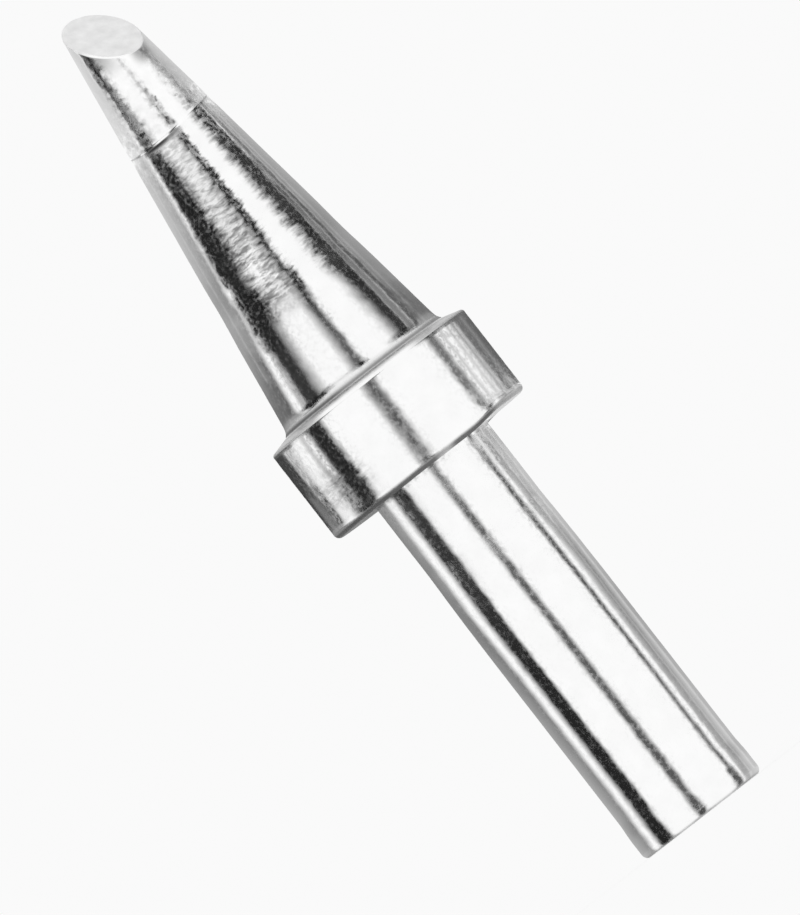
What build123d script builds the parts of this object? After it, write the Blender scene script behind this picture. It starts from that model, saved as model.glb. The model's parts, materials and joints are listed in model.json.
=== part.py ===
from build123d import *

import os
from math import cos, radians, sin, tan

# Soldering iron tip with a bevelled nose: one turned and plated copper piece.
# It stands on the open end of its shank, with the axis up along +Z and the origin at the middle
# of that end. The bevel slopes down towards +X. All sizes are in millimetres.

# Driving dimensions of the outside
overall_length = 56.65  # from the shank's end to the toe, before the toe's edge is softened
shank_diameter = 8.0
shank_length = 24.75  # from the open end to the collar's seat
collar_diameter = 13.4
collar_width = 5.7  # height of the collar's side
crown_angle = 15.0  # slope of the collar's upper face, degrees from level
cone_base_diameter = 10.6
nose_diameter = 3.23  # of the cone at the full length
bevel_angle = 45.0  # of the working face, degrees from level

# Driving dimensions of the blind bore that takes the heater
bore_diameter = 5.2
bore_depth = 24.5  # to the end of the full diameter
drill_point_angle = 118.0
mouth_chamfer = 0.3

# Radii that break the edges
shank_end_radius = 0.4
collar_edge_radius = 0.35
cone_root_radius = 0.45
rim_radius = 0.15

# Sizes that follow from the ones above
shank_radius = shank_diameter / 2
collar_radius = collar_diameter / 2
cone_base_radius = cone_base_diameter / 2
nose_radius = nose_diameter / 2
bore_radius = bore_diameter / 2
collar_top = shank_length + collar_width
crown_width = collar_radius - cone_base_radius
cone_base = collar_top + crown_width * tan(radians(crown_angle))
drill_point_length = bore_radius / tan(radians(drill_point_angle / 2))

# The crown carries a rounding on both sides, so neither may take more than half of its width
crown_rim_radius = min(collar_edge_radius, crown_width / 2)
crown_root_radius = min(cone_root_radius, crown_width / 2)


def place(corner):
    """Where a (radius, height) corner lies on the toe's side, which is where the turned faces close."""
    radius, height = corner
    return Vector(-radius, 0, height)


def section(corners):
    """A flat half section through the axis, from (radius, height) corners."""
    places = [place(corner) for corner in corners]
    return make_face(Polyline(*places, close=True))


def rounded(face, corner, edge_radius):
    """The same face with one of its corners rounded."""
    vertex = face.vertices().sort_by_distance(place(corner))[0]
    return fillet(vertex, edge_radius)


def turned_blank():
    """The outside as it leaves the lathe: shank, collar and cone."""
    shank_end = (shank_radius, 0)
    seat_rim = (collar_radius, shank_length)
    crown_rim = (collar_radius, collar_top)
    cone_root = (cone_base_radius, cone_base)
    face = section(
        [
            (0, 0),
            shank_end,
            (shank_radius, shank_length),
            seat_rim,
            crown_rim,
            cone_root,
            (nose_radius, overall_length),
            (0, overall_length),
        ]
    )
    face = rounded(face, shank_end, shank_end_radius)
    face = rounded(face, seat_rim, collar_edge_radius)
    face = rounded(face, crown_rim, crown_rim_radius)
    face = rounded(face, cone_root, crown_root_radius)
    return revolve(face, Axis.Z)


def heater_bore():
    """What the drill removes: a blind bore with a lead-in at its mouth and a conical end."""
    face = section(
        [
            (0, 0),
            (bore_radius + mouth_chamfer, 0),
            (bore_radius, mouth_chamfer),
            (bore_radius, bore_depth),
            (0, bore_depth + drill_point_length),
        ]
    )
    return revolve(face, Axis.Z)


def bevel_plane():
    """The plane of the working face. It passes through the toe, on the -X side."""
    slope = radians(bevel_angle)
    toe = place((nose_radius, overall_length))
    return Plane(origin=toe, z_dir=(sin(slope), 0, cos(slope)))


def soldering_tip():
    """The finished tip, bored, with the bevel ground and its rim softened."""
    bored = turned_blank() - heater_bore()
    ground = split(bored, bisect_by=bevel_plane(), keep=Keep.BOTTOM)
    working_face = ground.faces().sort_by(Axis.Z)[-1]
    return fillet(working_face.edges(), rim_radius)


os.makedirs("parts", exist_ok=True)
export_step(soldering_tip(), "parts/soldering_tip.step")
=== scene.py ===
"""Looks of a soldering iron tip: bright plate, coarse plate, a tinned bevel and a plain bore.

The tip stands on the open end of its shank. Lengths are in millimetres up to the meshes, which
are in metres. A place on the metal is given as its height and how far it lies across what the
camera sees, from -1 at the left edge to 1 at the right.
"""

import json
from math import asin, atan, cos, degrees, hypot, radians, sin, sqrt, tan

import bpy
import numpy as np
from mathutils import Matrix, Vector


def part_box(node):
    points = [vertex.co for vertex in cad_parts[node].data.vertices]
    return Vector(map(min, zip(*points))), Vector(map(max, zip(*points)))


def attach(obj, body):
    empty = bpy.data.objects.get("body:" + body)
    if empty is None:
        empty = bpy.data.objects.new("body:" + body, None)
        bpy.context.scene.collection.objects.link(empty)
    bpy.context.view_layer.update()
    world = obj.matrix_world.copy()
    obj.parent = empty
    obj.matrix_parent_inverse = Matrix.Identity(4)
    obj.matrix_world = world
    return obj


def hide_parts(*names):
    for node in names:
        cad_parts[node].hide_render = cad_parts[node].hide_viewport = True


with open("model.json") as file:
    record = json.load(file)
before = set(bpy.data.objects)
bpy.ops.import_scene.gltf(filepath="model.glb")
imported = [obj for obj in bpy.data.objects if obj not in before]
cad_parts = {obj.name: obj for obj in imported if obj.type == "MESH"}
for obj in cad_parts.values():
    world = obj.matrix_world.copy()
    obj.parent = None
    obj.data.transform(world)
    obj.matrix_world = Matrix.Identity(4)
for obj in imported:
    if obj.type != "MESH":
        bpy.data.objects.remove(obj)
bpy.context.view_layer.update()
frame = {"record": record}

MM = 0.001
NODE = "soldering_tip"
mounts = {mount["name"]: mount for mount in frame["record"]["mounts"]}

# Sizes that the frame gives
collar_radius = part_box(NODE)[1].y / MM
shank_radius = mounts["shank"]["dims"]["r_mm"]
bore_radius = mounts["heater_bore"]["dims"]["r_mm"]
seat_height = mounts["collar_seat"]["pos_m"][2] / MM

# The rest of the turned form
mouth_chamfer = 0.3
bore_depth = mounts["heater_bore"]["dims"]["length_mm"] + mouth_chamfer
drill_point_angle = 118.0
shank_end_radius = 0.4
seat_corner_radius = 0.12
collar_width = 5.7
collar_edge_radius = 0.35
collar_rim_radius = 0.22
crown_angle = 15.0
cone_base_radius = 5.3
cone_root_radius = 0.45
full_length = 56.65
nose_radius = 1.615
bevel_angle = 45.0
rim_radius = 0.15

collar_top = seat_height + collar_width
cone_base = collar_top + (collar_radius - cone_base_radius) * tan(radians(crown_angle))
cone_taper = (cone_base_radius - nose_radius) / (full_length - cone_base)
cone_tilt = atan(cone_taper)
drill_tip = bore_depth + bore_radius / tan(radians(drill_point_angle / 2))
bevel_level = full_length - nose_radius * tan(radians(bevel_angle))

# The photograph's view
camera_azimuth = 57.0
camera_distance = 1200.0
eye_height = 0.5
photo_width = 800
photo_height = 915
millimetres_per_pixel = 0.05552
foot_pixel = (704.1, 815.8)
axis_lean = 52.15
sensor_side = 36.0

azimuth = radians(camera_azimuth)
to_camera = Vector((sin(azimuth), -cos(azimuth), 0))
to_right = Vector((cos(azimuth), sin(azimuth), 0))
upwards = Vector((0, 0, 1))

# Where the plating changes: the tin ends on a slanted line, and the coarse plate runs down from it
tin_line = 48.42
tin_rise_right = 0.167
tin_rise_back = 0.40
tin_lip = 0.012
coarse_end = 36.9

# Where the plating is uneven: a shallow hollow round the cone, and a flare at the cone's foot
hollow_height = 38.2
hollow_spread = 1.3
hollow_depth = 0.035
flare_start = 0.15
flare_length = 0.6
flare_size = 0.045
plating_seed = 11

# How finely the form is divided
drill_tip_radius = 0.02
degrees_per_step = 8
bore_spacing = 1.5
plate_spacing = 0.18

# The points round a ring, and how far each lies to the right and to the front in the photograph
SEGMENTS = 192
around = np.arange(SEGMENTS) * 2 * np.pi / SEGMENTS
right_share = np.cos(around) * to_right.x + np.sin(around) * to_right.y
front_share = np.cos(around) * to_camera.x + np.sin(around) * to_camera.y


def cone_radius(height):
    return nose_radius + cone_taper * (full_length - height)


def smooth_step(low, high, value):
    share = np.clip((value - low) / (high - low), 0, 1)
    return share * share * (3 - 2 * share)


def stretch(rise, fall, value):
    """1 along a stretch with soft ends. Rise and fall are the two places that each end lies between."""
    return smooth_step(*rise, value) * (1 - smooth_step(*fall, value))


def bump(middle, spread, value):
    """1 at the middle, and softly less on both sides of it."""
    return np.exp(-(((value - middle) / spread) ** 2))


def add_object(name, data):
    made = bpy.data.objects.new(name, data)
    bpy.context.scene.collection.objects.link(made)
    return made


def paint(mesh, name, values):
    """Gives each point of a mesh a number that its material reads."""
    layer = mesh.attributes.new(name, "FLOAT", "POINT")
    layer.data.foreach_set("value", np.asarray(values, np.float32))


# Camera

def view_axes():
    """The picture's right and up, the way back to the camera, and the camera's place."""
    lean = radians(axis_lean)
    right = to_right * sin(lean) - upwards * cos(lean)
    up = to_right * cos(lean) + upwards * sin(lean)
    across = (photo_width / 2 - foot_pixel[0]) * millimetres_per_pixel
    above = (foot_pixel[1] - photo_height / 2) * millimetres_per_pixel
    target = right * across + up * above
    place = to_camera * camera_distance + to_right * target.dot(to_right) + upwards * eye_height
    back = (place - target).normalized()
    right = (right - back * right.dot(back)).normalized()
    return right, back.cross(right), back, place


picture_right, picture_up, picture_back, eye = view_axes()


def make_camera():
    """Looks level at the tip, rolled so that the axis leans as it does in the photograph."""
    data = bpy.data.cameras.new("camera")
    data.sensor_width = sensor_side
    data.lens = sensor_side * camera_distance / (photo_height * millimetres_per_pixel)
    data.clip_start = 0.05
    data.clip_end = 50.0
    camera = add_object("camera", data)
    turn = Matrix((picture_right, picture_up, picture_back)).transposed().to_4x4()
    camera.matrix_world = Matrix.Translation(eye * MM) @ turn
    bpy.context.scene.camera = camera


# The turned form

def rounded_path(corners):
    """Points along a path through (radius, height, rounding) corners, with its corners rounded."""
    path = [corners[0][:2]]
    for before, corner, after in zip(corners, corners[1:], corners[2:]):
        here = Vector(corner[:2])
        back = (Vector(before[:2]) - here).normalized()
        on = (Vector(after[:2]) - here).normalized()
        if corner[2] == 0:
            path.append(tuple(here))
            continue
        half = back.angle(on) / 2
        reach = corner[2] / tan(half)
        middle = here + (back + on).normalized() * (corner[2] / sin(half))
        start = here + back * reach - middle
        end = here + on * reach - middle
        turn = start.angle(end)
        steps = max(4, round(degrees(turn) / degrees_per_step))
        for step in range(steps + 1):
            share = step / steps
            spoke = (start * sin(turn * (1 - share)) + end * sin(turn * share)) / sin(turn)
            path.append(tuple(middle + spoke))
    path.append(corners[-1][:2])
    return path


def divided(path, spacing):
    """The same path with its long runs divided."""
    points = []
    for start, end in zip(path, path[1:]):
        steps = max(1, round(hypot(end[0] - start[0], end[1] - start[1]) / spacing))
        points += [tuple(np.add(start, np.subtract(end, start) * i / steps)) for i in range(steps)]
    return points + [path[-1]]


def ring(radius, height):
    """One ring of points. Radius and height may change round it."""
    radius = radius + 0 * around
    height = height + 0 * around
    return np.stack([radius * np.cos(around), radius * np.sin(around), height], 1)


def build_up(height):
    """How much thicker or thinner the plating leaves the shank and the cone at a height."""
    shank_heights = (0, 1.4, 2.4, 4, 14, 16.5, 18.2, 19.8, seat_height)
    shank_offsets = (0.08, 0.08, 0.02, 0.015, 0.01, -0.01, -0.04, -0.08, -0.08)
    offset = np.interp(height, shank_heights, shank_offsets, right=0)
    hollow = -hollow_depth * bump(hollow_height, hollow_spread, height)
    past_start = np.clip((height - cone_base - flare_start) / flare_length, 0, 1)
    flare = flare_size * (1 - past_start) ** 2 * (height > cone_base)
    return offset + hollow + flare


def seat_slant(radius, height):
    """The seat isn't quite square: it sits low, but for the right edge, where it turns up."""
    near = np.clip(1 - abs(height - seat_height) / 2.0, 0, 1) * smooth_step(4.0, 6.0, radius)
    return near * (0.04 * right_share - 0.18 + 0.2 * smooth_step(0.45, 0.78, right_share))


def painted_edge_shade(radius, height):
    """How much painted shade and painted dark reflection darken the edges, and how much duller they are:
    the cone's root, the collar's two, the shank's end.
    """
    # Painted shade in the crease at the cone's root
    above_root = height - cone_base - 0.05
    root = bump(0, 0.2 if above_root > 0 else 0.13, above_root) * (radius < 6)
    root = root * (0.7 + 0.15 * (1 - smooth_step(-0.45, -0.15, right_share)))
    # Painted dark reflection along the collar's lower edge
    above_seat = height - seat_height
    seat = (1 - smooth_step(0.15, 0.34, above_seat)) * (above_seat > -0.05) * (radius > 4.3)
    paler = stretch((0.03, 0.12), (0.2, 0.3), right_share)
    seat = seat * (0.8 - 0.3 * paler) * (1 - 0.5 * smooth_step(0.66, 0.76, right_share))
    # Painted dark reflection at the left and right of the collar's upper edge
    side = 0.5 * smooth_step(0.42, 0.6, abs(right_share)) * (front_share > -0.1)
    crown = smooth_step(-0.25, 0.0, height - collar_top) * (radius > 5.7) * side
    # Painted dark reflection at the shank's end
    end = 0.4 * bump(0.06, 0.07, height) * (radius > 3.5)
    return root + seat + crown + end


def tin_edge():
    """The height of the slanted line where the tin ends."""
    return tin_line + tin_rise_right * right_share - tin_rise_back * front_share


def rim_height():
    """Where each line up the cone meets the bevelled face."""
    lean = tan(radians(bevel_angle)) * np.cos(around)
    return (bevel_level - lean * (nose_radius + cone_taper * full_length)) / (1 - cone_taper * lean)


def rim_reach():
    """How far from the sharp edge the rim's rounding starts."""
    slope = radians(bevel_angle)
    facing = cos(cone_tilt) * sin(slope) * np.cos(around) + sin(cone_tilt) * cos(slope)
    return rim_radius * np.tan(np.arccos(facing) / 2) * 1.2


def bore_rings():
    """Down the bore, from the drill point to the lead-in."""
    corners = [
        (drill_tip_radius, drill_tip, 0),
        (bore_radius, bore_depth, 0),
        (bore_radius, mouth_chamfer, 0),
        (bore_radius + mouth_chamfer, 0, 0),
    ]
    return [(ring(r, z), "bore", 0) for r, z in divided(rounded_path(corners), bore_spacing)[:-1]]


def plated_rings():
    """Across the shank's end and up the outside, to just below the tin."""
    corners = [
        (bore_radius + mouth_chamfer, 0, 0),
        (shank_radius, 0, shank_end_radius),
        (shank_radius, seat_height, seat_corner_radius),
        (collar_radius, seat_height, collar_edge_radius),
        (collar_radius, collar_top, collar_rim_radius),
        (cone_base_radius, cone_base, cone_root_radius),
        (cone_radius(tin_line - 1), tin_line - 1, 0),
    ]
    rings = []
    for radius, height in divided(rounded_path(corners), plate_spacing):
        on_side = abs(radius - shank_radius) < 0.01 or height > cone_base
        on_end = height < shank_end_radius and radius > shank_radius - 0.6
        grown = radius + (build_up(height) if on_side or on_end else 0)
        # Each ring carries the painted shade of its edge
        shade = painted_edge_shade(radius, height)
        rings.append((ring(grown, height + seat_slant(radius, height)), "plate", shade))
    return rings


def rings_under_tin():
    """The plate just below the tin's edge, left of the middle: painted shade darkens it there in place of
    the dark reflection under the tin's lip.
    """
    depths = (0.8, 0.6, 0.48, 0.38, 0.28, 0.18, 0.1, 0.03)
    depth_shades = (0, 0, 0.2, 0.5, 0.8, 0.92, 0.92, 0.7)
    # Painted dark line under the tin's lip
    shaded = stretch((-0.75, -0.6), (0.08, 0.22), right_share) * smooth_step(0, 0.3, front_share)
    shaded = shaded * (1 - 0.3 * smooth_step(-0.3, -0.05, right_share))
    edge = tin_edge()
    rings = []
    for depth, shade in zip(depths, depth_shades):
        height = edge - depth + (tin_line - edge) * depth
        rings.append((ring(cone_radius(height), height), "plate", shade * shaded))
    return rings


def rings_over_lip():
    """The tin's rounded lip, which is fullest at the front and the back."""
    full = 0.2 + 0.8 * smooth_step(0.35, 0.75, abs(front_share))
    rings = []
    for above in (0, 0.02, 0.045, 0.08, 0.13, 0.2, 0.32, 0.5, 0.75):
        lip = tin_lip * (smooth_step(0, 0.08, above) + 0.3 * bump(0.09, 0.08, above))
        height = tin_edge() + above
        rings.append((ring(cone_radius(height) + lip * full, height), "tin", 0))
    return rings


def rings_up_nose():
    """Up to the bevel's rim: the rings slant with the tin's edge, then turn to the bevel's slope."""
    low = tin_edge() + 1.0
    top = rim_height() - rim_reach()
    # Painted shade on the tin below the rim, left and right of the middle, in place of dark reflections
    # there
    left = 0.52 * stretch((-0.8, -0.6), (-0.45, 0.15), right_share)
    right = 0.52 * stretch((0.25, 0.55), (0.68, 0.9), right_share)
    rings = []
    for share in np.linspace(0, 1, 44):
        height = low + (top - low) * share
        near_left = 1 - smooth_step(0.1, 1.4, top - height)
        near_right = 1 - smooth_step(0.2, 1.2, top - height)
        shade = (left * near_left + right * near_right) * smooth_step(0, 0.3, front_share)
        rings.append((ring(cone_radius(height) + tin_lip * (1 - share), height), "tin", shade))
    return rings


def bevel_rings(start):
    """Over the softened rim and in across the bevelled face, to the middle of it."""
    sharp = rim_height()
    rim = ring(cone_radius(sharp), sharp)
    middle = rim.mean(0)
    spokes = middle - rim
    inner = rim + spokes * (rim_reach() / np.linalg.norm(spokes, axis=1))[:, None]
    # Painted highlight and lower roughness along the near rim, carried as shade below zero
    painted_highlight_and_polish = stretch((-0.75, -0.45), (0.25, 0.45), right_share) * (front_share > 0)
    rings = []
    for share in np.linspace(0, 1, 9)[1:]:
        curve = start * (1 - share) ** 2 + rim * 2 * share * (1 - share) + inner * share**2
        rings.append((curve, "face", -painted_highlight_and_polish * (1 - smooth_step(0.75, 1, share))))
    for share in np.linspace(0, 1, 24)[1:-1]:
        rings.append((inner + (middle - inner) * share, "face", 0))
    return rings, middle


ZONES = ("bore", "plate", "tin", "face")


def ripple(points):
    """Very slight waves of the plating, along the outward direction."""
    rng = np.random.default_rng(plating_seed)
    height = points[:, 2]
    angle = np.arctan2(points[:, 1], points[:, 0])
    wave = 0 * height
    for size, length in ((0.0015, 2.6), (0.0008, 1.1), (0.0004, 0.55)):
        for layer in range(6):
            turns = round(rng.uniform(0, 2 * np.pi * 4 / length))
            rate = rng.uniform(0.3, 1) * 2 * np.pi / length
            start = rng.uniform(0, 2 * np.pi)
            wave = wave + size * np.sin(turns * angle + rate * height + start) / 2.4
    return wave


def rippled(points):
    """The same points moved outwards by the waves, apart from the bore and the shank's end."""
    height = points[:, 2]
    radius = np.hypot(points[:, 0], points[:, 1])
    in_bore = (radius < shank_radius - shank_end_radius) & (height < drill_tip + 1)
    on_end = height < 0.05
    wave = np.where(in_bore | on_end, 0, ripple(points))
    grown = points.copy()
    grown[:, :2] *= (1 + wave / np.maximum(radius, 0.5))[:, None]
    return grown


def coarseness(points):
    """How coarse the plate is, and where darker clouds in its colour paint streaks of reflection: on the
    upper cone, and in a patch on the collar.
    """
    height = points[:, 2]
    radius = np.hypot(points[:, 0], points[:, 1]) + 1e-6
    front = (points[:, 0] * to_camera.x + points[:, 1] * to_camera.y) / radius
    right = (points[:, 0] * to_right.x + points[:, 1] * to_right.y) / radius
    upper = smooth_step(coarse_end - 0.3, coarse_end + 0.3, height)
    coarse = 0.3 + 0.7 * stretch((-0.50, -0.38), (0.56, 0.66), right)
    coarse = coarse * (1 - 0.7 * bump(0.09, 0.08, right))
    coarse = coarse * upper * smooth_step(0.2, 0.6, front**2)
    patch = stretch((-0.95, -0.8), (-0.5, -0.38), right) * stretch((25.6, 26.1), (26.9, 28.1), height)
    patch = patch * (front > 0) * (radius > 6)
    # Painted streaks of reflection: left of the middle and on the right of the upper cone, and in the
    # collar's patch
    left_part = stretch((-0.62, -0.42), (-0.06, 0.03), right) * (1 - 0.45 * smooth_step(41, 47, height))
    right_part = 0.35 * stretch((0.36, 0.5), (0.58, 0.68), right)
    return coarse + 0.4 * patch, upper * (left_part + right_part) + 0.5 * patch


def skin(rings):
    """The faces between the rings, with a fan over the last and a cap on the first, and their zones."""
    count = len(rings)
    faces = []
    zones = []
    for row in range(count - 1):
        for column in range(SEGMENTS):
            following = (column + 1) % SEGMENTS
            low = row * SEGMENTS
            high = low + SEGMENTS
            faces.append((low + column, low + following, high + following, high + column))
            zones.append(ZONES.index(rings[row][1]))
    last = (count - 1) * SEGMENTS
    pole = count * SEGMENTS
    for column in range(SEGMENTS):
        faces.append((last + column, last + (column + 1) % SEGMENTS, pole))
        zones.append(ZONES.index("face"))
    faces.append(tuple(range(SEGMENTS - 1, -1, -1)))
    zones.append(ZONES.index("bore"))
    return faces, zones


def tip_mesh():
    rings = bore_rings() + plated_rings()[:-1] + rings_under_tin() + rings_over_lip() + rings_up_nose()
    bevel, middle = bevel_rings(rings[-1][0])
    rings += bevel
    points = np.concatenate([points for points, zone, shade in rings] + [middle[None]])
    shades = np.concatenate([shade + 0 * around for points, zone, shade in rings] + [[0]])
    faces, zones = skin(rings)
    mesh = bpy.data.meshes.new("soldering_tip_plated")
    mesh.from_pydata((rippled(points) * MM).tolist(), [], faces)
    mesh.polygons.foreach_set("material_index", zones)
    mesh.polygons.foreach_set("use_smooth", [True] * len(faces))
    coarse, mottle = coarseness(points)
    # shade carries the painted shade, and on the face a painted highlight below zero
    for name, values in (("coarse", coarse), ("mottle", mottle), ("shade", shades)):
        paint(mesh, name, values)
    mesh.update()
    print("triangles", sum(len(face) - 2 for face in faces), "rings", len(rings))
    return mesh


# Materials

class Surface:
    """A material under construction, with short calls for the nodes that it needs."""

    def __init__(self, name, base, metallic, roughness):
        self.material = bpy.data.materials.new(name)
        self.material.use_nodes = True
        self.tree = self.material.node_tree
        self.shader = self.tree.nodes["Principled BSDF"]
        self.shader.inputs["Base Color"].default_value = (base, base, base, 1)
        self.shader.inputs["Metallic"].default_value = metallic
        self.shader.inputs["Roughness"].default_value = roughness
        self.place = self.node("ShaderNodeTexCoord").outputs["Object"]

    def node(self, kind, **inputs):
        made = self.tree.nodes.new(kind)
        for name, value in inputs.items():
            self.feed(made.inputs[name.replace("_", " ")], value)
        return made

    def feed(self, socket, value):
        if isinstance(value, bpy.types.NodeSocket):
            self.tree.links.new(value, socket)
        else:
            socket.default_value = value

    def noise(self, across, along, detail=2.0, rough=0.5, distortion=0.0):
        """Noise with so many features a metre across and along the axis."""
        scaled = self.node("ShaderNodeMapping", Vector=self.place, Scale=(across, across, along))
        return self.node("ShaderNodeTexNoise", Vector=scaled.outputs["Vector"], Scale=1.0,
                         Detail=detail, Roughness=rough, Distortion=distortion)

    def spread(self, value, low, high, to_low, to_high):
        made = self.node("ShaderNodeMapRange", Value=value, From_Min=low, From_Max=high,
                         To_Min=to_low, To_Max=to_high)
        return made.outputs["Result"]

    def math(self, operation, first, second):
        made = self.tree.nodes.new("ShaderNodeMath")
        made.operation = operation
        self.feed(made.inputs[0], first)
        self.feed(made.inputs[1], second)
        return made.outputs[0]

    def vector(self, operation, first, second):
        made = self.tree.nodes.new("ShaderNodeVectorMath")
        made.operation = operation
        self.feed(made.inputs[0], first)
        if operation == "SCALE":
            self.feed(made.inputs["Scale"], second)
        elif second is not None:
            self.feed(made.inputs[1], second)
        return made.outputs[0]

    def grey(self, value):
        made = self.node("ShaderNodeCombineColor", Red=value, Green=value, Blue=value)
        self.feed(self.shader.inputs["Base Color"], made.outputs["Color"])

    def attribute(self, name):
        made = self.tree.nodes.new("ShaderNodeAttribute")
        made.attribute_name = name
        return made.outputs["Fac"]

    def uneven(self, texture, across, along):
        """Leans of the surface, from a noise's colour: sideways and along the axis."""
        centred = self.vector("SUBTRACT", texture.outputs["Color"], (0.5, 0.5, 0.5))
        return self.vector("MULTIPLY", centred, (across, across, along))

    def lean(self, *leans):
        normal = self.tree.nodes.new("ShaderNodeNewGeometry").outputs["Normal"]
        for amount in leans:
            normal = self.vector("ADD", normal, amount)
        self.feed(self.shader.inputs["Normal"], self.vector("NORMALIZE", normal, None))


def bright_plate():
    """Bright plate with a fine grain, which turns coarse and streaky on the upper cone: the streaks are
    partly bumps and partly painted reflection, and painted shade darkens and dulls the edges and the plate
    under the tin's lip.
    """
    plate = Surface("bright_plate", 0.96, 1.0, 0.05)
    coarse = plate.attribute("coarse")
    painted_streak_share = plate.attribute("mottle")
    shade = plate.attribute("shade")
    grain = plate.uneven(plate.noise(2600, 2200, 0.5), 0.03, 0.02)
    streaks = plate.uneven(plate.noise(1100, 4200, 2.0, 0.5, 0.4), 0.26, 0.08)
    plate.lean(grain, plate.vector("SCALE", streaks, coarse))
    pits = plate.spread(plate.noise(4600, 4600, 1.0).outputs["Fac"], 0.4, 0.7, 0.07, 0.19)
    # Where painted shade darkens the plate, it is also duller
    dull = plate.math("MULTIPLY", shade, 0.5)
    plate.feed(plate.shader.inputs["Roughness"], plate.math("ADD", pits, dull))
    tone = plate.spread(plate.noise(900, 900, 3.0).outputs["Fac"], 0.3, 0.7, 0.94, 0.975)
    # Darker clouds in the colour: painted streaks of reflection
    cloud = plate.spread(plate.noise(1400, 4200, 3.0, 0.6, 0.5).outputs["Fac"], 0.42, 0.62, 1, 0.35)
    clear = plate.math("SUBTRACT", 1.0, painted_streak_share)
    clouded = plate.math("ADD", clear, plate.math("MULTIPLY", painted_streak_share, cloud))
    tone = plate.math("MULTIPLY", tone, clouded)
    # Painted shade darkens the colour
    plate.grey(plate.math("MULTIPLY", tone, plate.spread(shade, 0, 1, 1, 0)))
    return plate.material


def tin():
    """The tinned cone behind the bevel: brighter, duller and softly rippled, with painted shade below the
    rim.
    """
    made = Surface("tin", 0.93, 1.0, 0.2)
    ripples = made.uneven(made.noise(2600, 3200, 2.0, 0.5, 0.3), 0.11, 0.05)
    made.lean(ripples)
    patches = made.noise(3200, 3200).outputs["Fac"]
    made.feed(made.shader.inputs["Roughness"], made.spread(patches, 0.35, 0.65, 0.07, 0.15))
    tone = made.spread(made.noise(1900, 1900, 3.0).outputs["Fac"], 0.3, 0.7, 0.95, 1.0)
    # Painted shade below the rim darkens the colour
    made.grey(made.math("MULTIPLY", tone, made.spread(made.attribute("shade"), 0, 1, 1, 0)))
    return made.material


def matt_face():
    """The bevelled face: matt tin with a fine blotchy tone, and along the near rim a painted highlight and
    lower roughness.
    """
    made = Surface("matt_face", 0.8, 1.0, 0.5)
    # Shade below zero along the near rim: a painted highlight, which also lowers the roughness
    painted_highlight_and_polish = made.math("MULTIPLY", made.attribute("shade"), -1.0)
    made.lean(made.uneven(made.noise(3500, 3500, 3.0), 0.15, 0.15))
    dull = made.spread(made.noise(2500, 2500).outputs["Fac"], 0.3, 0.7, 0.45, 0.6)
    polished = made.math("MULTIPLY", painted_highlight_and_polish, 0.4)
    made.feed(made.shader.inputs["Roughness"], made.math("SUBTRACT", dull, polished))
    tone = made.spread(made.noise(1400, 1400, 4.0, 0.6).outputs["Fac"], 0.3, 0.7, 0.77, 0.86)
    made.grey(made.math("ADD", tone, made.math("MULTIPLY", painted_highlight_and_polish, 0.15)))
    return made.material


def bore_wall():
    """The bore isn't polished: dull plate with drill marks round it."""
    made = Surface("bore_wall", 0.45, 1.0, 0.4)
    made.lean(made.uneven(made.noise(600, 9000, 2.0), 0.1, 0.3))
    made.feed(made.shader.inputs["Roughness"],
              made.spread(made.noise(900, 4000).outputs["Fac"], 0.3, 0.7, 0.3, 0.5))
    made.grey(made.spread(made.noise(500, 1500, 3.0).outputs["Fac"], 0.3, 0.7, 0.38, 0.52))
    return made.material


def make_tip():
    mesh = tip_mesh()
    looks = {"bore": bore_wall(), "plate": bright_plate(), "tin": tin(), "face": matt_face()}
    for zone in ZONES:
        mesh.materials.append(looks[zone])
    tip = add_object("soldering_tip_plated", mesh)
    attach(tip, "root")
    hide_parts(NODE)


# The studio that the metal mirrors: grey cards on a round wall, placed by where they show

studio_radius = 120.0
studio_bottom = -90.0
layer_gap = 0.001
degrees_per_column = 1.5
edge_inset = 0.1

# The metal's own edges as the camera sees them. A card that reaches one isn't faded there.
LEFT = -0.998
RIGHT = 0.998


# Each surface gives the metal's radius, height and upward tilt. A plain surface takes a height,
# which may lie past its ends, and a rounded edge takes a tilt in degrees.

def shank(height):
    return shank_radius, height, 0.0


def shank_end(tilt):
    return shank_radius - edge_inset, shank_end_radius / 2, -radians(tilt)


def collar(height):
    return collar_radius, height, 0.0


def collar_rim(tilt):
    return collar_radius - edge_inset, collar_top - edge_inset, radians(tilt)


def cone(height):
    return cone_radius(height), height, cone_tilt


def seen_from(surface, height, across):
    """The place on the studio's wall or floor that shows at a place on the metal."""
    radius, level, tilt = surface(height)
    outward = to_camera * sqrt(1 - across**2) + to_right * across
    place = outward * radius + upwards * level
    normal = outward * cos(tilt) + upwards * sin(tilt)
    ray = (place - eye).normalized()
    ray -= normal * 2 * ray.dot(normal)
    flat = Vector((ray.x, ray.y))
    start = Vector((place.x, place.y))
    along = start.dot(flat) / flat.dot(flat)
    apart = (start.dot(start) - studio_radius**2) / flat.dot(flat)
    wall = place + ray * (sqrt(along**2 - apart) - along)
    if wall.z > studio_bottom:
        return wall
    return place + ray * ((studio_bottom - place.z) / ray.z)


def columns(left, right, soft, count):
    """Places across a card, each with how much the card covers there: its sides fade."""
    fade = np.linspace(0, 1, 6)[:-1]
    start = left
    end = right
    places = []
    if left > LEFT:
        start = left + soft[0] / 2
        places += [(left + soft[0] * (share - 0.5), share) for share in fade]
    if right < RIGHT:
        end = right - soft[1] / 2
    places += [(sin(angle), 1) for angle in np.linspace(asin(start), asin(end), count)]
    if right < RIGHT:
        places += [(right - soft[1] * (share - 0.5), share) for share in fade[::-1]]
    return places


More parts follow.
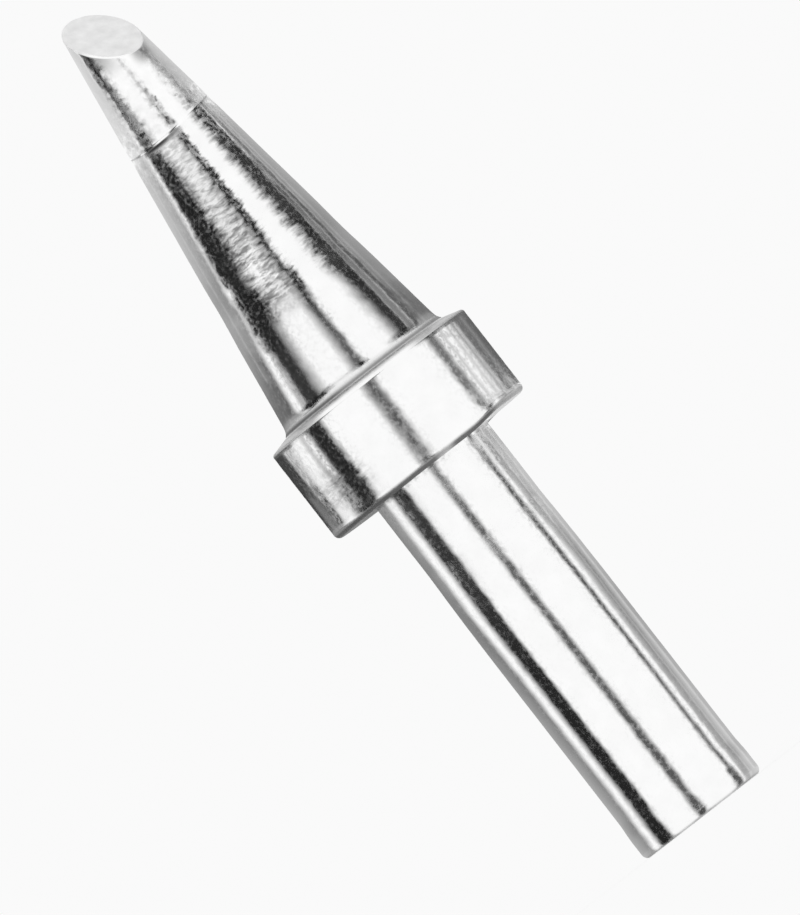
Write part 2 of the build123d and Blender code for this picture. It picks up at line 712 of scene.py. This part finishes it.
def card_material(name):
    """A card glows in its own grey, and shows what is behind it where its cover fades."""
    made = bpy.data.materials.new(name)
    made.use_nodes = True
    made.cycles.emission_sampling = "NONE"
    nodes = made.node_tree.nodes
    links = made.node_tree.links
    nodes.clear()
    out = nodes.new("ShaderNodeOutputMaterial")
    glow = nodes.new("ShaderNodeEmission")
    clear = nodes.new("ShaderNodeBsdfTransparent")
    mix = nodes.new("ShaderNodeMixShader")
    for layer, socket in (("tone", glow.inputs["Color"]), ("cover", mix.inputs[0])):
        reader = nodes.new("ShaderNodeAttribute")
        reader.attribute_name = layer
        links.new(reader.outputs["Fac"], socket)
    links.new(clear.outputs[0], mix.inputs[1])
    links.new(glow.outputs[0], mix.inputs[2])
    links.new(mix.outputs[0], out.inputs[0])
    return made


class Cards:
    """All the grey cards as one mesh, each a little nearer than the one before."""

    def __init__(self):
        self.points = []
        self.tones = []
        self.covers = []
        self.faces = []
        self.layer = 0

    def grid(self, rows):
        """Rows of (point, tone, cover), all of one length, from the bottom up."""
        self.layer += 1
        nearer = 1 - layer_gap * self.layer
        first = len(self.points)
        width = len(rows[0])
        for row in rows:
            for point, tone, cover in row:
                self.points.append(Vector((point.x * nearer, point.y * nearer, point.z)) * MM)
                self.tones.append(tone)
                self.covers.append(cover)
        for row in range(len(rows) - 1):
            for column in range(width - 1):
                corner = first + row * width + column
                self.faces.append((corner, corner + 1, corner + width + 1, corner + width))

    def card(self, surface, soft, *edges, lowest=studio_bottom):
        """Each edge is a height, the left and right side there, and the grey at each.

        Soft is how wide the card's fading sides are, or a pair of widths, left and right.
        No part of the card reaches below the lowest height.
        """
        soft = soft if isinstance(soft, tuple) else (soft, soft)
        widest = max(degrees(asin(edge[2]) - asin(edge[1])) for edge in edges)
        count = round(widest / degrees_per_column) + 2
        rows = []
        for height, left, right, grey_left, grey_right in edges:
            row = []
            for across, cover in columns(left, right, soft, count):
                place = seen_from(surface, height, across)
                place.z = max(place.z, lowest)
                share = min(max((across - left) / (right - left), 0), 1)
                row.append((place, grey_left + (grey_right - grey_left) * share, cover))
            rows.append(row)
        self.grid(rows)

    def bands(self, surface, soft, heights, *bands):
        """Cards with upright sides."""
        for band in bands:
            self.card(surface, soft, *[(height, *band) for height in heights])

    def object(self, name):
        mesh = bpy.data.meshes.new(name)
        mesh.from_pydata(self.points, [], self.faces)
        paint(mesh, "tone", self.tones)
        paint(mesh, "cover", self.covers)
        mesh.materials.append(card_material(name))
        cards = add_object(name, mesh)
        cards.visible_camera = False
        cards.visible_diffuse = False
        cards.visible_shadow = False
        cards.visible_transmission = False
        cards.visible_volume_scatter = False


# The darkest grey of a card
BLACK = 0.017

# The collar mirrors the wall's low part, the cone the part above it and the collar's rim the rest
cone_cards_bottom = 34.0
rim_cards_bottom = 90.0


def shank_cards(cards):
    foot = (
        (LEFT, -0.82, 0.5, 0.28), (-0.715, -0.50, BLACK, BLACK), (-0.065, 0.085, 0.07, 0.07),
        (0.62, 0.72, 0.09, 0.09), (0.765, 0.86, 0.42, 0.45), (0.86, RIGHT, 0.54, 0.68),
    )
    cards.bands(shank_end, 0.05, (70, 60, 52, 46, 42, 38, 34, 30, 26, 22, 14, 7, 2), *foot)
    cards.card(shank, 0.07, (-6, LEFT, -0.815, 0.5, 0.27), (3, LEFT, -0.82, 0.44, 0.22),
               (12, LEFT, -0.83, 0.34, 0.18), (15, LEFT, -0.845, 0.27, 0.18),
               (18.5, LEFT, -0.86, 0.24, 0.22), (22, LEFT, -0.855, 0.24, 0.38),
               (25, LEFT, -0.835, 0.28, 0.4))
    cards.card(shank, 0.05, (18.5, -0.54, -0.49, 1, 1), (22, -0.54, -0.44, 0.8, 0.95),
               (25, -0.54, -0.38, 0.6, 0.9))
    cards.card(shank, (0.08, 0.05), (-6, -0.715, -0.50, BLACK, BLACK), (12, -0.72, -0.52, 0.02, 0.02),
               (17, -0.735, -0.52, 0.03, 0.03), (22, -0.735, -0.51, 0.04, 0.04),
               (25, -0.72, -0.51, 0.06, 0.06))
    cards.card(shank, 0.06, (-6, -0.065, 0.09, 0.07, 0.07), (3, -0.065, 0.065, 0.1, 0.1),
               (12, -0.055, 0.055, 0.11, 0.11), (22.5, -0.065, 0.05, 0.12, 0.12),
               (24.4, -0.1, 0.03, 0.35, 0.3))
    cards.card(shank, 0.04, (-6, 0.61, 0.725, 0.09, 0.09), (1.5, 0.61, 0.72, 0.09, 0.09),
               (3, 0.635, 0.695, 0.2, 0.2), (12, 0.645, 0.705, 0.09, 0.09),
               (22.5, 0.63, 0.71, 0.1, 0.1), (24.4, 0.62, 0.78, 0.5, 0.4))
    cards.card(shank, 0.03, (-6, 0.765, 0.86, 0.42, 0.45), (3, 0.765, 0.86, 0.42, 0.32),
               (12, 0.765, 0.86, 0.6, 0.18), (15.5, 0.765, 0.86, 0.85, 0.2), (18.5, 0.765, 0.86, 0.75, 0.2),
               (21, 0.765, 0.86, 0.6, 0.32), (22.5, 0.765, 0.86, 0.4, 0.33), (24.4, 0.765, 0.86, 0.2, 0.2))
    cards.card(shank, 0.03, (-6, 0.86, 0.94, 0.54, 0.66), (3, 0.86, 0.94, 0.42, 0.62),
               (12, 0.86, 0.94, 0.2, 0.6), (15.5, 0.86, 0.94, 0.14, 0.55), (18.5, 0.86, 0.94, 0.28, 0.52),
               (22.5, 0.86, 0.94, 0.7, 0.5), (24.4, 0.86, 0.94, 0.3, 0.25))
    cards.card(shank, 0.03, (-6, 0.94, RIGHT, 0.7, 0.7), (3, 0.94, RIGHT, 0.5, 0.5),
               (12, 0.94, RIGHT, 0.38, 0.38), (22.5, 0.94, RIGHT, 0.6, 0.6), (24.4, 0.94, RIGHT, 0.4, 0.4))


def collar_cards(cards):
    for band in ((-0.97, -0.80, 0.05, 0.15), (0.82, 0.97, 0.2, 0.12)):
        rows = [(tilt, *band) for tilt in (20, 24, 28, 32, 36, 39)]
        cards.card(collar_rim, 0.05, *rows, lowest=rim_cards_bottom)
    cards.bands(collar, 0.03, (25, 31.5),
                (LEFT, -0.905, 0.05, 0.05), (-0.90, -0.83, 0.55, 0.75), (-0.735, -0.70, 0.55, 0.55),
                (0.72, 0.74, 0.6, 0.6), (0.785, 0.81, 0.6, 0.6), (0.83, 0.86, 0.3, 0.3),
                (0.868, RIGHT, 0.17, 0.12), (0.93, 0.95, 0.25, 0.25))
    cards.bands(collar, 0.045, (25, 53),
                (-0.655, -0.50, 0.02, 0.02), (-0.07, 0.075, 0.4, 0.4), (-0.03, 0.045, 0.1, 0.1),
                (0.595, 0.68, 0.17, 0.17))
    cards.bands(collar, 0.03, (25, 27.4), (-0.97, -0.85, 0.22, 0.03), (-0.85, -0.67, 0.95, 0.3))
    cards.bands(collar, 0.04, (25, 26.1), (-0.73, -0.49, BLACK, BLACK))


def cone_left_cards(cards):
    bottom = cone_cards_bottom
    cards.card(cone, 0.06, (10, LEFT, -0.80, 0.14, 0.10), (31.9, LEFT, -0.80, 0.17, 0.11),
               (34, LEFT, -0.79, 0.3, 0.14), (36, LEFT, -0.775, 0.36, 0.32),
               (38, LEFT, -0.755, 0.38, 0.26), (41, LEFT, -0.755, 0.5, 0.33),
               (44, LEFT, -0.735, 0.6, 0.37), (47.4, LEFT, -0.725, 0.6, 0.42), lowest=bottom)
    cards.card(cone, 0.03, (10, -0.72, -0.66, 0.5, 0.5), (31.9, -0.72, -0.66, 0.5, 0.5),
               (34.5, -0.72, -0.67, 0.85, 0.75), lowest=bottom)
    cards.card(cone, 0.03, (36.8, -0.765, -0.68, 0.55, 0.5), (40, -0.765, -0.68, 0.6, 0.6),
               (43, -0.74, -0.68, 0.85, 0.85), lowest=bottom)
    cards.card(cone, 0.1, (36.9, -0.5, -0.02, 0.7, 0.6), (38, -0.5, -0.02, 0.6, 0.58),
               (41, -0.5, -0.02, 0.97, 0.72), (44, -0.5, -0.02, 1, 0.8), (47.2, -0.5, -0.02, 1, 0.87),
               (48.4, -0.5, -0.02, 1, 1))
    cards.card(cone, (0.05, 0.17), (10, -0.655, -0.43, 0.04, 0.04), (31.9, -0.655, -0.43, 0.04, 0.04),
               (34, -0.67, -0.435, 0.025, 0.025), (35.2, -0.735, -0.43, BLACK, BLACK),
               (36, -0.755, -0.425, BLACK, BLACK), (37.2, -0.74, -0.355, BLACK, BLACK),
               (41, -0.71, -0.365, BLACK, BLACK), (44, -0.68, -0.345, BLACK, BLACK),
               (47.4, -0.665, -0.36, BLACK, BLACK), (48.3, -0.66, -0.39, BLACK, BLACK), lowest=bottom)
    cards.card(cone, 0.02, (33, -0.91, -0.89, 0.35, 0.35), (47.6, -0.91, -0.89, 0.65, 0.65))


def cone_centre_card(cards):
    cards.card(cone, (0.13, 0.05), (10, -0.03, 0.11, 0.12, 0.12), (31.9, -0.03, 0.11, 0.12, 0.12),
               (34, -0.035, 0.085, 0.06, 0.06), (36, -0.035, 0.10, 0.04, 0.04),
               (38, -0.02, 0.145, 0.02, 0.02), (44, -0.01, 0.155, BLACK, BLACK),
               (48.2, -0.01, 0.165, BLACK, BLACK), lowest=cone_cards_bottom)


def cone_right_cards(cards):
    bottom = cone_cards_bottom
    cards.card(cone, (0.16, 0.02), (10, 0.545, 0.705, 0.04, 0.04), (31.9, 0.545, 0.705, 0.04, 0.04),
               (34, 0.515, 0.705, 0.02, 0.02), (36, 0.50, 0.705, 0.03, 0.03),
               (38, 0.46, 0.71, 0.04, 0.04), (41, 0.48, 0.71, 0.06, 0.05),
               (44, 0.51, 0.73, 0.03, 0.025), (48, 0.50, 0.76, BLACK, BLACK), lowest=bottom)
    cards.card(cone, 0.02, (10, 0.705, 0.77, 0.32, 0.27), (36, 0.705, 0.77, 0.22, 0.18),
               (41, 0.71, 0.77, 0.09, 0.11), (44, 0.73, 0.77, 0.1, 0.2), lowest=bottom)
    cards.card(cone, 0.03, (10, 0.775, 0.85, 0.12, 0.1), (31.9, 0.775, 0.85, 0.12, 0.1),
               (34, 0.77, 0.84, 0.13, 0.07), (36, 0.77, 0.835, 0.12, 0.08),
               (41, 0.77, 0.83, 0.11, 0.14), (44, 0.765, 0.83, 0.2, 0.15),
               (48, 0.755, 0.83, 0.2, 0.28), lowest=bottom)
    cards.card(cone, 0.03, (10, 0.83, RIGHT, 0.14, 0.17), (31.9, 0.83, RIGHT, 0.14, 0.17),
               (34, 0.83, RIGHT, 0.24, 0.3), (38, 0.83, RIGHT, 0.25, 0.36),
               (44, 0.83, RIGHT, 0.3, 0.45), (47.6, 0.83, RIGHT, 0.35, 0.52), lowest=bottom)
    cards.card(cone, 0.02, (31.4, 0.87, 0.89, 0.3, 0.3), (47.6, 0.87, 0.89, 0.55, 0.55))


def tin_cards(cards):
    cards.card(cone, 0.04, (48.4, LEFT, -0.66, 0.72, 0.64), (51, LEFT, -0.70, 0.72, 0.6),
               (53, LEFT, -0.78, 0.72, 0.6), (60, LEFT, -0.82, 0.72, 0.6))
    cards.card(cone, (0.04, 0.1), (48.8, -0.66, -0.43, 0.04, 0.04), (49.5, -0.65, -0.43, 0.07, 0.07),
               (50.5, -0.65, -0.43, 0.05, 0.05), (51.5, -0.72, -0.49, 0.02, 0.02),
               (52.5, -0.76, -0.54, BLACK, BLACK), (60, -0.78, -0.6, 0.03, 0.03))
    cards.card(cone, 0.05, (48.6, 0.04, 0.12, 0.5, 0.5), (50.5, 0.03, 0.10, 0.6, 0.6),
               (53, 0.0, 0.08, 0.7, 0.7))
    cards.card(cone, (0.08, 0.03), (48.6, 0.66, 0.765, 0.4, 0.35), (50.5, 0.63, 0.77, 0.28, 0.26),
               (53, 0.52, 0.78, 0.25, 0.25))
    cards.card(cone, 0.03, (48.4, 0.765, RIGHT, 0.42, 0.6), (60, 0.765, RIGHT, 0.5, 0.75))


def make_cards():
    cards = Cards()
    shank_cards(cards)
    collar_cards(cards)
    cone_left_cards(cards)
    cone_centre_card(cards)
    cone_right_cards(cards)
    tin_cards(cards)
    cards.object("studio_cards")


# The pale floor and backdrop, and the light. The floor's half width is in metres.

floor_half = 20.0
paper_grey = 0.955
light_grey = 0.55
mirrored_grey = 1.0
sun_width = 50.0
sun_strength = 1.46
sun_lean = (12.0, 8.0)


def make_floor():
    signs = ((-1, -1), (1, -1), (1, 1), (-1, 1))
    corners = [(floor_half * x, floor_half * y, 0) for x, y in signs]
    mesh = bpy.data.meshes.new("floor")
    mesh.from_pydata(corners, [], [(0, 1, 2, 3)])
    paper = Surface("floor_paper", paper_grey, 0.0, 1.0)
    paper.shader.inputs["Specular IOR Level"].default_value = 0
    mesh.materials.append(paper.material)
    floor = add_object("floor", mesh)
    floor.visible_glossy = False


def make_world():
    """The surroundings: one grey that lights the tip, one that it mirrors and one that is seen."""
    world = bpy.data.worlds.new("studio")
    bpy.context.scene.world = world
    world.use_nodes = True
    nodes = world.node_tree.nodes
    links = world.node_tree.links
    nodes.clear()
    out = nodes.new("ShaderNodeOutputWorld")
    path = nodes.new("ShaderNodeLightPath")
    lights = {}
    for name, grey in (("soft", light_grey), ("mirrored", mirrored_grey), ("seen", paper_grey)):
        lights[name] = nodes.new("ShaderNodeBackground")
        lights[name].inputs["Color"].default_value = (grey, grey, grey, 1)
    straight = nodes.new("ShaderNodeMath")
    straight.operation = "MAXIMUM"
    links.new(path.outputs["Is Camera Ray"], straight.inputs[0])
    links.new(path.outputs["Is Transmission Ray"], straight.inputs[1])
    first = nodes.new("ShaderNodeMixShader")
    links.new(path.outputs["Is Glossy Ray"], first.inputs[0])
    links.new(lights["soft"].outputs[0], first.inputs[1])
    links.new(lights["mirrored"].outputs[0], first.inputs[2])
    second = nodes.new("ShaderNodeMixShader")
    links.new(straight.outputs[0], second.inputs[0])
    links.new(first.outputs[0], second.inputs[1])
    links.new(lights["seen"].outputs[0], second.inputs[2])
    links.new(second.outputs[0], out.inputs[0])


def make_sun():
    sun = bpy.data.lights.new("sun", "SUN")
    sun.angle = radians(sun_width)
    sun.energy = sun_strength
    lamp = add_object("sun", sun)
    lamp.visible_glossy = False
    lamp.rotation_euler = (radians(sun_lean[0]), radians(sun_lean[1]), 0)


make_tip()
make_cards()
make_floor()
make_world()
make_sun()
make_camera()
bpy.context.scene.view_settings.view_transform = "Standard"
